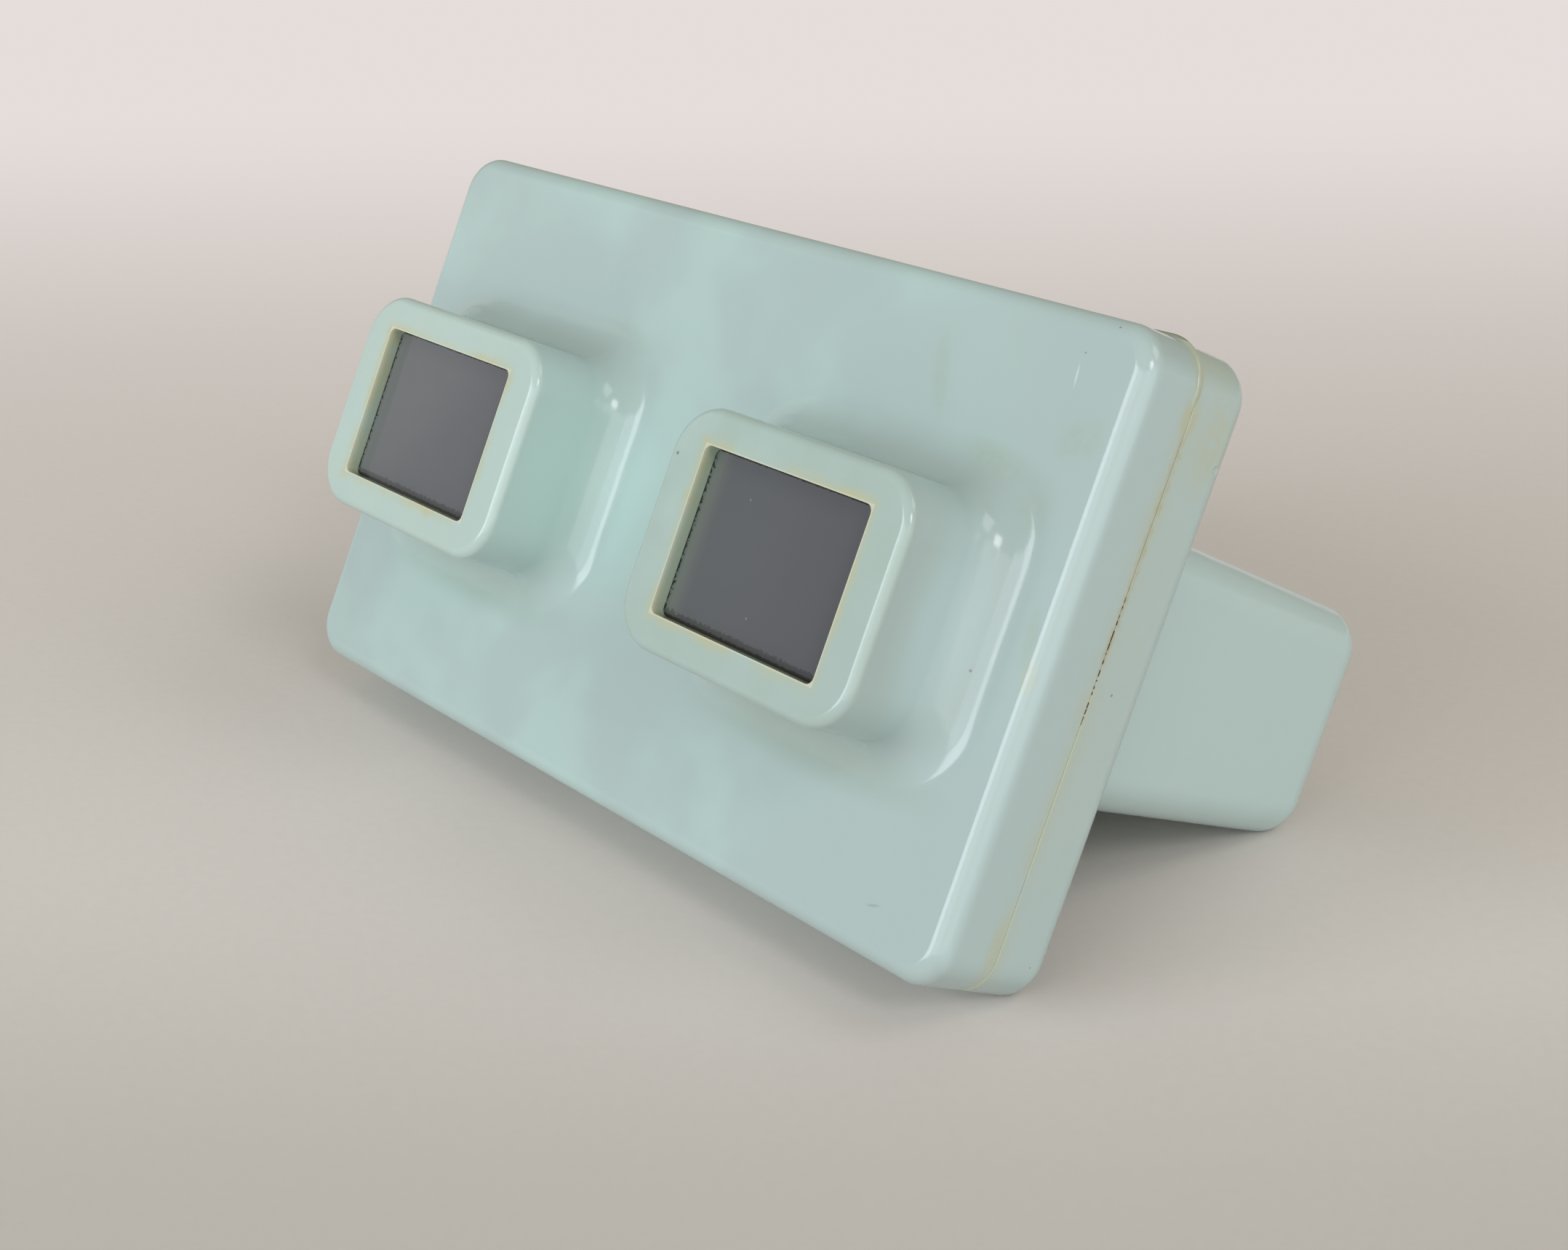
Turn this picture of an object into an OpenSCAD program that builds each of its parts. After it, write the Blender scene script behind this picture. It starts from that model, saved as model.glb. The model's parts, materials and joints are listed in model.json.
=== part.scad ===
// Hand-held stereo viewer for mounted transparency pairs.
// Two cemented plastic shells carry two square eyepieces in front and a light box behind.
// The pieces are drawn in a plan frame, as seen by the user: x right, y up, z depth behind the
// face plate (z = 0). placed() stands that frame up and leans the viewer back until the lower rear
// edge of its body and the lower back edge of its box both rest on z = 0.

/* [Body] */
// How far the body stands out beyond each side of the box
body_step = 6; // [4:0.5:15]
// Height of both body shells
body_h = 70; // [62:1:90]
// Depth of the front shell, from the face plate to the seam
front_depth = 8.3; // [7:0.1:14]
// Depth of the rear shell, from the seam to its back
rear_depth = 8.9; // [7.5:0.1:16]
// Wall of both body shells
shell_wall = 2; // [1.6:0.1:2.4]
// Radius of the four upright corners
corner_r = 5; // [4.6:0.1:10]
// Rounding between the face plate and the side walls
front_edge_r = 2.2; // [0.8:0.1:2.3]
// Rounding of the rear shell's back edge
rear_edge_r = 2.6; // [0.8:0.1:3]
// Rounding inside the shells, where the walls meet
inner_edge_r = 1; // [0.4:0.1:1.2]
// Thickness of the tongue that centres the front shell in the rear one
tongue_t = 0.9; // [0.6:0.1:1.1]
// Length of the tongue
tongue_l = 1.6; // [1:0.1:2.5]
// Radius of the corner posts inside the shells
post_r = 3; // [2.5:0.1:4]
// Radius of the locating pins on the rear posts
pin_r = 1.5; // [1:0.1:1.9]
// Length of the locating pins beyond the seam
pin_l = 4; // [2:0.1:4.5]

/* [Eyepieces] */
// How much farther apart the lens axes are than the pictures
eye_spread = 2; // [0:0.5:3]
// Width of a window
window_w = 26.5; // [22:0.5:28]
// Height of a window
window_h = 19; // [15:0.5:19.5]
// Radius of the window's corners
window_r = 0.9; // [0.4:0.1:2]
// Width of an eyepiece's rim
rim_w = 37.6; // [37:0.1:38.5]
// Height of an eyepiece's rim
rim_h = 27.4; // [27:0.1:30]
// Radius of the rim's corners
rim_r = 6; // [4.5:0.1:8]
// Rounding of the rim's outer edge
rim_edge_r = 1.2; // [0.5:0.1:2]
// Height of the rim's face above the face plate
rim_rise = 14; // [13:0.1:18]
// Radius of the cove between an eyepiece and the face plate
cove_r = 5; // [3:0.1:5.5]
// Depth of the window behind the rim's face, down to the lens
window_lip = 1.7; // [1.4:0.1:2.6]

/* [Lenses] */
// Thickness of the lens flange
lens_flange = 1.8; // [1.2:0.1:2.4]
// Width of the domed part of a lens
dome_w = 27; // [24:0.5:28]
// Height of the domed part of a lens
dome_h = 19.2; // [17:0.2:19.6]
// Radius of the dome
dome_r = 31; // [28:1:40]
// Thickness of the frame that holds a lens in its pocket
lens_frame_t = 2.5; // [1.5:0.1:3]

/* [Light box] */
// Room beside each end of the slide for the guides, screws and wall of the box
box_side_room = 9; // [8.5:0.25:11]
// Height of the box's top above the lens axes, where it leaves the rear shell
box_above = 16.4; // [16:0.1:22]
// Depth of the box's underside below the lens axes, where it leaves the rear shell
box_below = 15.4; // [15:0.1:20]
// Length of the box behind the rear shell
box_depth = 45.8; // [42:0.1:60]
// How far the box's top and underside each draw in over that length
box_draft = 2.1; // [0:0.1:2.3]
// How far each side of the box draws in over that length
box_side_draft = 0.8; // [0:0.1:1.2]
// Radius of all the box's outer edges
box_edge_r = 5; // [4:0.1:6]
// Wall of the box
box_wall = 1.8; // [1.4:0.1:2.2]
// Thickness of the box's back
back_wall = 2.4; // [2.2:0.1:3]
// How far the light opening ends inside each end of the slide
light_margin = 1; // [0:0.5:4]
// Height of the light opening in the back
light_h = 15.5; // [12:0.5:16]
// Radius of the light opening's corners
light_r = 3; // [1:0.5:5]

/* [Picture gate] */
// Thickness of the opal diffuser
diffuser_t = 1.6; // [1:0.1:2.5]
// Thickness of the frame that clamps the diffuser
frame_t = 3.6; // [2.5:0.1:5]
// Thickness of the guides' rear lip
guide_lip = 0.8; // [0.6:0.1:1.4]
// Thickness of the black gate plate
gate_t = 1.6; // [1:0.1:2.4]
// Distance between the centres of the two pictures
picture_spacing = 62; // [60:0.5:63]
// Width of a picture aperture in the gate
aperture_w = 23.4; // [20:0.2:23.6]
// Height of a picture aperture in the gate
aperture_h = 17; // [14:0.2:17.4]
// Wall of a light tunnel
tunnel_wall = 1; // [0.8:0.1:1.4]
// Radius of the gate screws' shanks
screw_r = 1.1; // [0.9:0.1:1.2]
// Length of the gate screws under their heads
screw_l = 10; // [8:0.5:10.5]
// Radius of the finger notch above the slide
notch_r = 8; // [6:0.5:8]

/* [Stereo slide] */
// Width of the mount beyond the outer edge of each picture window
mount_edge = 3; // [2.5:0.25:3.5]
// Thickness of the mounted slide
slide_t = 2.6; // [2:0.1:3]
// Distance that the slide's top edge lies below the box's top
slide_sink = 0.5; // [0:0.1:1.5]
// Width of a picture window in the mount
picture_w = 24; // [20:0.2:24.4]
// Height of a picture window in the mount
picture_h = 17.4; // [14:0.2:17.6]
// Thickness of a glass-bound transparency
film_t = 1.2; // [0.8:0.1:1.6]
// Running clearance of the slide in its guides
slide_gap = 0.25; // [0.15:0.05:0.35]
// Thickness of a leaf spring
leaf_t = 0.25; // [0.2:0.05:0.4]

/* [Hidden] */
$fn = 64;
hull_fn = 32;
corner_steps = 8;
cove_steps = 8;
edge_steps = 4;
fit_gap = 0.2;
eps = 0.5;

// The pictures set the lens axes and the slide, the slide sets the box, and the box the body
eye_spacing = picture_spacing + eye_spread;
slide_w = picture_spacing + picture_w + 2 * mount_edge;
box_w = slide_w + 2 * box_side_room;
body_w = box_w + 2 * body_step;
light_w = slide_w - 2 * light_margin;

seam_z = front_depth;
rear_z = front_depth + rear_depth;
back_z = rear_z + box_depth;
rim_z = -rim_rise;
lens_z = rim_z + window_lip;
dome_z = lens_z + lens_flange;
tunnel_z = dome_z + lens_frame_t;

// The gate's pieces are stacked forward from the inside of the back
diffuser_back_z = back_z - back_wall;
diffuser_z = diffuser_back_z - diffuser_t;
frame_z = diffuser_z - frame_t;
guide_room = slide_t + 1;
guide_z = frame_z - guide_lip - guide_room;
gate_z = guide_z - gate_t;
slide_z = guide_z + slide_gap;
slide_mid_z = slide_z + slide_t / 2;
slot_gap = slide_gap + 0.1;

function box_share(z) = (z - rear_z) / box_depth;
function box_half_w(z) = box_w / 2 - box_side_draft * box_share(z);
function box_top(z) = box_above - box_draft * box_share(z);
function box_bottom(z) = -box_below + box_draft * box_share(z);
function inner_half_w(z) = box_half_w(z) - box_wall;
function inner_top(z) = box_top(z) - box_wall;
function inner_bottom(z) = box_bottom(z) + box_wall;

// Sizes that follow the box's draft are rounded to a fiftieth of a millimetre, as on a drawing
function drawn(size) = round(size * 50) / 50;

box_inner_r = box_edge_r - box_wall;
box_mid_y = (box_above - box_below) / 2;
// The gate's flat pieces share one outline, which clears the box at the diffuser
gate_w = drawn(2 * (inner_half_w(diffuser_back_z) - fit_gap));
gate_top = drawn(inner_top(diffuser_back_z) - fit_gap);
gate_bottom = drawn(inner_bottom(diffuser_back_z) + fit_gap);
gate_h = gate_top - gate_bottom;
gate_y = (gate_top + gate_bottom) / 2;

stop_y = gate_bottom + 1;
slide_bottom = stop_y + 0.1;
slide_top = drawn(box_top(slide_mid_z) - slide_sink);
slide_h = slide_top - slide_bottom;
guide_inner_x = slide_w / 2 - 3.2;
groove_x = slide_w / 2 + slide_gap;
screw_head_r = 1.9;
screw_head_h = 1.2;
screw_x = gate_w / 2 - screw_head_r - 0.3;
screw_y = gate_h / 2 - 5;
boss_r = screw_r + 1.1;
frame_half_w = screw_x - boss_r - fit_gap;
rivet_r = 0.6;
leaf_x = (guide_inner_x + slide_w / 2) / 2;
leaf_w = 2.4;
leaf_half_l = slide_h * 0.36;

pocket_w = rim_w - 2 * shell_wall;
pocket_h = rim_h - 2 * shell_wall;
pocket_r = rim_r - shell_wall;
post_x = body_w / 2 - shell_wall - post_r - 1.5;
post_y = body_h / 2 - shell_wall - post_r - 1.5;

// The two round edges that the leaning viewer rests on, as circles in the y-z plane
body_rest = [rear_z - rear_edge_r, -body_h / 2 + rear_edge_r];
box_rest = [back_z - box_edge_r, box_bottom(back_z) + box_edge_r];
rest_run = box_rest - body_rest;
tilt = atan2(rest_run[1], rest_run[0]) - asin((box_edge_r - rear_edge_r) / norm(rest_run));
function world_y(z, y) = z * cos(tilt) + y * sin(tilt);
function world_z(z, y) = y * cos(tilt) - z * sin(tilt);
lift = rear_edge_r - world_z(body_rest[0], body_rest[1]);
front_reach = world_y(rim_z + rim_edge_r, -rim_h / 2 + rim_edge_r) - rim_edge_r;
back_reach = world_y(back_z - box_edge_r, box_top(back_z) - box_edge_r) + box_edge_r;
centre_shift = -(front_reach + back_reach) / 2;

mint = [0.70, 0.82, 0.78];
black = [0.09, 0.09, 0.10];
opal = [0.93, 0.93, 0.90];
clear = [0.80, 0.86, 0.88, 0.5];
steel = [0.66, 0.67, 0.68];
card = [0.86, 0.85, 0.81];

// Stands the plan frame up and leans it back onto its two resting edges
module placed() {
    translate([0, centre_shift, lift])
        rotate([-tilt, 0, 0])
            rotate([-90, 0, 0])
                mirror([0, 1, 0])
                    children();
}

// Rectangle with round corners, centred
module round_rect(w, h, r) {
    square([w - 2 * r, h], center = true);
    square([w, h - 2 * r], center = true);
    for (sx = [-1, 1], sy = [-1, 1])
        translate([sx * (w / 2 - r), sy * (h / 2 - r)])
            circle(r);
}

// Plate with round corners between two depths
module plate(w, h, r, z0, z1) {
    translate([0, 0, z0])
        linear_extrude(z1 - z0)
            round_rect(w, h, r);
}

// Carries a profile round a rectangle with round corners and fills its middle.
// The profile's x runs outwards from the corners' centres and its y is the depth.
module swept_round(w, h, r, z0, z1) {
    a = w / 2 - r;
    b = h / 2 - r;
    corners = [[a, b], [-a, b], [-a, -b], [a, -b]];
    translate([-a, -b, z0])
        cube([2 * a, 2 * b, z1 - z0]);
    for (turn = [0, 180])
        rotate(turn) {
            translate([-a, b, 0])
                rotate([90, 0, 90])
                    linear_extrude(2 * a)
                        children();
            translate([a, b, 0])
                rotate([90, 0, 0])
                    linear_extrude(2 * b)
                        children();
        }
    for (k = [0:3])
        translate(corners[k])
            rotate(90 * k)
                rotate_extrude(angle = 90)
                    children();
}

// Profile of a wall's end, rounded where it meets z0
module edge_profile(r, z0, z1, round_r) {
    fillet = min(round_r, r * 0.49);
    translate([0, z0])
        square([r - fillet, z1 - z0]);
    translate([0, z0 + fillet])
        square([r, z1 - z0 - fillet]);
    translate([r - fillet, z0 + fillet])
        circle(fillet);
}

// Points round a rectangle with round corners, counter-clockwise at one depth
function round_ring(w, h, r, z) =
    [for (k = [0:3], j = [0:corner_steps])
        let (a = 90 * (k + j / corner_steps))
            [(w / 2 - r) * [1, -1, -1, 1][k] + r * cos(a),
             (h / 2 - r) * [1, 1, -1, -1][k] + r * sin(a),
             z]];

// Solid through a list of rings with equally many points, given from front to back
module loft(rings) {
    n = len(rings[0]);
    last = len(rings) - 1;
    sides = [for (k = [0:last - 1], i = [0:n - 1])
        [k * n + i, (k + 1) * n + i, (k + 1) * n + (i + 1) % n, k * n + (i + 1) % n]];
    caps = [[for (i = [0:n - 1]) i], [for (i = [n - 1:-1:0]) last * n + i]];
    polyhedron([for (ring = rings) each ring], concat(caps, sides));
}

// The rim's outline grown outwards by a distance, at one depth
function rim_ring(grow, z) = round_ring(rim_w + 2 * grow, rim_h + 2 * grow, rim_r + grow, z);

// Quarter circle that flares from an eyepiece's upright side into the face plate.
// The cove outside and the surface inside the wall share its centre.
function cove_rings(radius) =
    [for (j = [0:cove_steps])
        let (a = 90 * j / cove_steps)
            rim_ring(cove_r - radius * cos(a), -cove_r + radius * sin(a))];

// Outside of one eyepiece: a rimmed block that flares into the face plate
module eyepiece_block() {
    rim_rings = [for (j = [0:edge_steps])
        let (a = 90 * j / edge_steps)
            rim_ring(rim_edge_r * (sin(a) - 1), rim_z + rim_edge_r * (1 - cos(a)))];
    loft(concat(rim_rings, cove_rings(cove_r), [rim_ring(cove_r, shell_wall / 2)]));
}

// Hollow of one eyepiece: the lens pocket, then a flare that follows the cove outside
module eyepiece_hollow() {
    loft(concat([rim_ring(-shell_wall, lens_z)], cove_rings(cove_r + shell_wall),
                [rim_ring(cove_r, shell_wall + eps)]));
    plate(window_w, window_h, window_r, rim_z - eps, lens_z + eps);
}

module at_eyes() {
    for (side = [-1, 1])
        translate([side * eye_spacing / 2, 0, 0])
            children();
}

module at_posts() {
    for (sx = [-1, 1], sy = [-1, 1])
        translate([sx * post_x, sy * post_y, 0])
            children();
}

module body_cavity(z0, z1) {
    inner_r = corner_r - shell_wall;
    swept_round(body_w - 2 * shell_wall, body_h - 2 * shell_wall, inner_r, z0, z1)
        edge_profile(inner_r, z0, z1, inner_edge_r);
}

// Front moulding: face plate, side walls and both eyepieces in one piece
module front_shell() {
    socket_r = pin_r + 0.1;
    tongue_gap = 2 * (shell_wall - tongue_t);
    color(mint)
        placed() {
            difference() {
                union() {
                    swept_round(body_w, body_h, corner_r, 0, seam_z)
                        edge_profile(corner_r, 0, seam_z, front_edge_r);
                    at_eyes()
                        eyepiece_block();
                    // Tongue that enters the rear shell
                    plate(body_w - tongue_gap, body_h - tongue_gap, corner_r - tongue_gap / 2,
                          seam_z - 1, seam_z + tongue_l);
                }
                body_cavity(shell_wall, seam_z + tongue_l + eps);
                at_eyes()
                    eyepiece_hollow();
            }
            // Posts with a socket for each locating pin
            at_posts()
                difference() {
                    translate([0, 0, shell_wall / 2])
                        cylinder(r = post_r, h = seam_z - shell_wall / 2);
                    translate([0, 0, seam_z - pin_l - fit_gap])
                        cylinder(r = socket_r, h = pin_l + fit_gap + eps);
                }
        }
}

// Outer form of the light box, drawn in towards its back and rounded on every outer edge
module box_form() {
    root_z = rear_z - shell_wall / 2;
    ball_z = back_z - box_edge_r;
    flat_w = 2 * (box_half_w(back_z) - box_edge_r);
    flat_h = box_top(back_z) - box_bottom(back_z) - 2 * box_edge_r;
    hull() {
        box_corners(root_z, box_edge_r, 0)
            cylinder(r = box_edge_r, h = 0.1, $fn = hull_fn);
        box_corners(back_z, box_edge_r, 0)
            translate([0, 0, -box_edge_r])
                sphere(box_edge_r, $fn = hull_fn);
        translate([-flat_w / 2, box_mid_y - flat_h / 2, ball_z])
            cube([flat_w, flat_h, box_edge_r]);
    }
}

// Hollow of the light box, square at its back where the diffuser seats
module box_hollow() {
    hull() {
        box_corners(rear_z - shell_wall - eps, box_inner_r, box_wall)
            cylinder(r = box_inner_r, h = 0.1, $fn = hull_fn);
        box_corners(back_z - back_wall, box_inner_r, box_wall)
            translate([0, 0, -0.1])
                cylinder(r = box_inner_r, h = 0.1, $fn = hull_fn);
    }
}

// Puts a shape at the box's four corners, inset by a wall and by the corner's radius
module box_corners(z, r, wall) {
    half_w = box_half_w(z) - wall - r;
    for (sx = [-1, 1], y = [box_bottom(z) + wall + r, box_top(z) - wall - r])
        translate([sx * half_w, y, z])
            children();
}

// Rear moulding: back of the body and the light box in one piece
module rear_shell() {
    rebate_l = tongue_l + fit_gap;
    rebate_gap = 2 * (shell_wall - tongue_t - fit_gap / 2);
    slot_half_w = slide_w / 2 + slot_gap;
    color(mint)
        placed() {
            difference() {
                union() {
                    translate([0, 0, seam_z + rear_z])
                        mirror([0, 0, 1])
                            swept_round(body_w, body_h, corner_r, seam_z, rear_z)
                                edge_profile(corner_r, seam_z, rear_z, rear_edge_r);
                    box_form();
                }
                translate([0, 0, seam_z + rear_z - shell_wall])
                    mirror([0, 0, 1])
                        body_cavity(seam_z, rear_z - shell_wall + eps);
                box_hollow();
                // Rebate for the front shell's tongue
                translate([0, 0, seam_z - eps])
                    linear_extrude(rebate_l + eps)
                        round_rect(body_w - rebate_gap, body_h - rebate_gap, corner_r - rebate_gap / 2);
                // Slot and finger notch in the top of the box
                translate([-slot_half_w, gate_top - 1, slide_z - slot_gap])
                    cube([2 * slot_half_w, box_above, slide_t + 2 * slot_gap]);
                translate([0, box_mid_y, slide_mid_z])
                    rotate([-90, 0, 0])
                        cylinder(r = notch_r, h = 2 * box_above);
                // Light opening in the back
                translate([0, box_mid_y, diffuser_back_z - eps])
                    linear_extrude(back_wall + 2 * eps)
                        round_rect(light_w, light_h, light_r);
            }
            // Corner posts with their locating pins
            at_posts() {
                translate([0, 0, seam_z])
                    cylinder(r = post_r, h = rear_depth - shell_wall / 2);
                translate([0, 0, seam_z - pin_l])
                    cylinder(r = pin_r, h = pin_l + 1);
            }
            // Bosses that the gate is screwed to, each tied to the side wall
            at_screws()
                difference() {
                    union() {
                        translate([0, 0, frame_z])
                            cylinder(r = boss_r, h = diffuser_back_z - frame_z + back_wall / 2);
                        translate([0, -boss_r / 2, frame_z])
                            cube([box_half_w(back_z) - screw_x - box_wall / 2, boss_r,
                                  diffuser_back_z - frame_z]);
                    }
                    translate([0, 0, frame_z - eps])
                        cylinder(r = screw_r, h = screw_l - (frame_z - gate_z) + 2 * eps);
                }
        }
}

// The four gate screws' places, mirrored so that +x always points to the near side wall
module at_screws() {
    for (side = [0, 1], sy = [-1, 1])
        mirror([side, 0, 0])
            translate([screw_x, gate_y + sy * screw_y, 0])
                children();
}

// Plano-convex lens with a rectangular flange; its flat side faces the eye
module lens(side) {
    rise = dome_r - sqrt(dome_r * dome_r - (dome_w * dome_w + dome_h * dome_h) / 4) + 0.2;
    color(clear)
        placed()
            translate([side * eye_spacing / 2, 0, 0]) {
                plate(pocket_w - 2 * fit_gap, pocket_h - 2 * fit_gap, pocket_r - fit_gap, lens_z, dome_z);
                intersection() {
                    plate(dome_w, dome_h, 1, dome_z - eps, dome_z + rise + eps);
                    translate([0, 0, dome_z + rise - dome_r])
                        sphere(dome_r);
                }
            }
}

// Black frame behind a lens flange, which holds the lens in its pocket
module lens_frame(side) {
    color(black)
        placed()
            translate([side * eye_spacing / 2, 0, dome_z])
                linear_extrude(lens_frame_t)
                    difference() {
                        round_rect(pocket_w - 2 * fit_gap, pocket_h - 2 * fit_gap, pocket_r - fit_gap);
                        square([dome_w + 2 * fit_gap, dome_h + 2 * fit_gap], center = true);
                    }
}

// Black tunnel from a lens to its picture, which keeps the two views apart
module light_tunnel(side) {
    tunnel_w = dome_w + 2 * fit_gap + 2 * tunnel_wall;
    tunnel_h = dome_h + 2 * fit_gap + 2 * tunnel_wall;
    color(black)
        placed()
            translate([side * eye_spacing / 2, 0, tunnel_z])
                linear_extrude(gate_z - tunnel_z)
                    difference() {
                        round_rect(tunnel_w, tunnel_h, tunnel_wall);
                        square([tunnel_w - 2 * tunnel_wall, tunnel_h - 2 * tunnel_wall], center = true);
                    }
}

// Outline that the gate plate and the guides share
module gate_outline() {
    translate([0, gate_y])
        round_rect(gate_w, gate_h, box_inner_r);
}

// Shallow dip in an upper edge, where fingers reach the slide
module finger_dip() {
    translate([0, gate_top + notch_r * 0.75])
        circle(notch_r);
}

// Black plate with the two picture apertures, in front of the slide
module picture_gate() {
    color(black)
        placed()
            difference() {
                translate([0, 0, gate_z])
                    linear_extrude(gate_t)
                        difference() {
                            gate_outline();
                            for (side = [-1, 1])
                                translate([side * picture_spacing / 2, 0])
                                    square([aperture_w, aperture_h], center = true);
                            finger_dip();
                        }
                at_screws()
                    translate([0, 0, gate_z - eps])
                        cylinder(r = screw_r, h = gate_t + 2 * eps);
            }
}

// Channel for one end of the slide: an outer wall, a rear lip and a stop at the bottom
module slide_guide(side) {
    color(black)
        placed()
            difference() {
                translate([0, 0, guide_z])
                    linear_extrude(guide_room + guide_lip)
                        intersection() {
                            gate_outline();
                            translate([side > 0 ? guide_inner_x : -gate_w, -gate_h])
                                square([gate_w - guide_inner_x * (side > 0 ? 0 : 1), 2 * gate_h]);
                        }
                translate([-groove_x, stop_y, guide_z - eps])
                    cube([2 * groove_x, gate_h, guide_room + eps]);
                at_screws()
                    translate([0, 0, guide_z - eps])
                        cylinder(r = screw_r, h = guide_room + guide_lip + 2 * eps);
                translate([side * leaf_x, gate_y - leaf_half_l + 1.5, guide_z])
                    cylinder(r = rivet_r, h = guide_room + guide_lip + eps);
            }
}

// Bowed leaf spring, riveted to a guide's lip at its lower end, which holds the slide to the gate
module slide_spring(side) {
    steps = 16;
    flat_l = 3;
    lip_z = guide_z + guide_room;
    bow = lip_z - leaf_t - (slide_z + slide_t) - 0.12;
    bow_l = 2 * leaf_half_l - flat_l;
    front_line = [for (k = [0:steps])
        [flat_l + bow_l * k / steps, leaf_t + bow * sin(180 * k / steps)]];
    rear_line = [for (k = [steps:-1:0])
        [flat_l + bow_l * k / steps, bow * sin(180 * k / steps)]];
    color(steel)
        placed()
            difference() {
                translate([side * leaf_x - leaf_w / 2, gate_y - leaf_half_l, lip_z])
                    rotate([90, 0, 90])
                        linear_extrude(leaf_w)
                            mirror([0, 1])
                                polygon(concat([[0, 0], [0, leaf_t]], front_line, rear_line));
                translate([side * leaf_x, gate_y - leaf_half_l + 1.5, guide_z])
                    cylinder(r = rivet_r, h = guide_room + guide_lip);
            }
}

// One rivet for each leaf spring, flush with the back of the lip
module spring_rivets() {
    head_h = 0.3;
    leaf_front_z = guide_z + guide_room - leaf_t;
    color(steel)
        placed()
            for (side = [-1, 1])
                translate([side * leaf_x, gate_y - leaf_half_l + 1.5, 0]) {
                    translate([0, 0, leaf_front_z - head_h])
                        cylinder(r = 1, h = head_h);
                    translate([0, 0, leaf_front_z - head_h])
                        cylinder(r = rivet_r, h = frame_z - leaf_front_z + head_h);
                }
}

// Black spacer that clamps the diffuser against the box's back
module diffuser_frame() {
    open_w = 2 * guide_inner_x;
    color(black)
        placed()
            translate([0, 0, frame_z])
                linear_extrude(frame_t)
                    difference() {
                        translate([0, gate_y])
                            square([2 * frame_half_w, gate_h], center = true);
                        translate([0, box_mid_y])
                            square([open_w, light_h + 2], center = true);
                        finger_dip();
                    }
}

// Opal sheet behind the light opening
module diffuser() {
    color(opal)
        placed()
            translate([0, gate_y, diffuser_z])
                linear_extrude(diffuser_t)
                    square([2 * frame_half_w, gate_h], center = true);
}

// Four slotted pan-head screws that clamp the gate and its guides to the bosses
module gate_screws() {
    color(steel)
        placed()
            at_screws()
                difference() {
                    union() {
                        translate([0, 0, gate_z - screw_head_h])
                            cylinder(r = screw_head_r, h = screw_head_h);
                        translate([0, 0, gate_z - eps])
                            cylinder(r = screw_r, h = screw_l + eps);
                    }
                    translate([-screw_head_r - eps, -0.25, gate_z - screw_head_h - eps])
                        cube([2 * (screw_head_r + eps), 0.5, eps + 0.6]);
                }
}

// Half of the slide's plastic mount, with two windows and a seat for each transparency
module slide_half(z0, seat_z) {
    difference() {
        translate([0, (slide_top + slide_bottom) / 2, z0])
            linear_extrude(slide_t / 2)
                round_rect(slide_w, slide_h, 1);
        for (side = [-1, 1])
            translate([side * picture_spacing / 2, 0, 0]) {
                translate([0, 0, slide_z - eps])
                    linear_extrude(slide_t + 2 * eps)
                        square([picture_w, picture_h], center = true);
                translate([0, 0, seat_z])
                    linear_extrude(film_t)
                        square([picture_w + 2, picture_h + 2], center = true);
            }
    }
}

module slide_mount_front() {
    color(card)
        placed()
            slide_half(slide_z, slide_mid_z - film_t / 2);
}

module slide_mount_back() {
    color(card)
        placed()
            slide_half(slide_mid_z, slide_mid_z - film_t / 2);
}

// One picture of the pair, bound between glasses
module transparency(side) {
    color(clear)
        placed()
            translate([side * picture_spacing / 2, 0, slide_mid_z - film_t / 2])
                linear_extrude(film_t)
                    square([picture_w + 1.9, picture_h + 1.9], center = true);
}

front_shell();
rear_shell();
lens(-1);  // left_lens
lens(1);  // right_lens
lens_frame(-1);  // left_lens_frame
lens_frame(1);  // right_lens_frame
light_tunnel(-1);  // left_light_tunnel
light_tunnel(1);  // right_light_tunnel
picture_gate();
slide_guide(-1);  // left_slide_guide
slide_guide(1);  // right_slide_guide
slide_spring(-1);  // left_slide_spring
slide_spring(1);  // right_slide_spring
spring_rivets();
diffuser_frame();
diffuser();
gate_screws();
slide_mount_front();
slide_mount_back();
transparency(-1);  // left_transparency
transparency(1);  // right_transparency
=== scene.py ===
"""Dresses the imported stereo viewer: shells, lenses, inner fittings, slide, floor, light and camera."""

import json
import math

import bmesh
import bpy
from mathutils import Matrix, Vector


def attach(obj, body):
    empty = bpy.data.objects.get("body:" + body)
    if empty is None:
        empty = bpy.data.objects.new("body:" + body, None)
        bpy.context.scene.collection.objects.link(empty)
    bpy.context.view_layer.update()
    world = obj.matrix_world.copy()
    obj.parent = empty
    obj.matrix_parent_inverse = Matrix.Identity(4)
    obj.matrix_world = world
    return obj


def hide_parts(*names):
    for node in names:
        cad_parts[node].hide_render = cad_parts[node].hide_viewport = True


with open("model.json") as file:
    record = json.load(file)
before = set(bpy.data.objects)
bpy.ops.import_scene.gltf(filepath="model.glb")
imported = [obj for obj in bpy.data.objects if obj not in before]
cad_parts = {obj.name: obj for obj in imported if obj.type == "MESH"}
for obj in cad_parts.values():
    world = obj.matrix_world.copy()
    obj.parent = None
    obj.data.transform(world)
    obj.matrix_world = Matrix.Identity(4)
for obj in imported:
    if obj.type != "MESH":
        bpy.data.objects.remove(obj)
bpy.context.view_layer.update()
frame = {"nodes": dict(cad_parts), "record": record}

# Front moulding
# One injection-moulded half of the body: the face plate, its side walls and both eyepieces.
# It is shaped lying face up on the bench, x to the user's right and z towards the user, then leant back.
MM = 0.001
BODY_W = 122 * MM
BODY_H = 70 * MM
FRONT_DEPTH = 8.3 * MM
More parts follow.
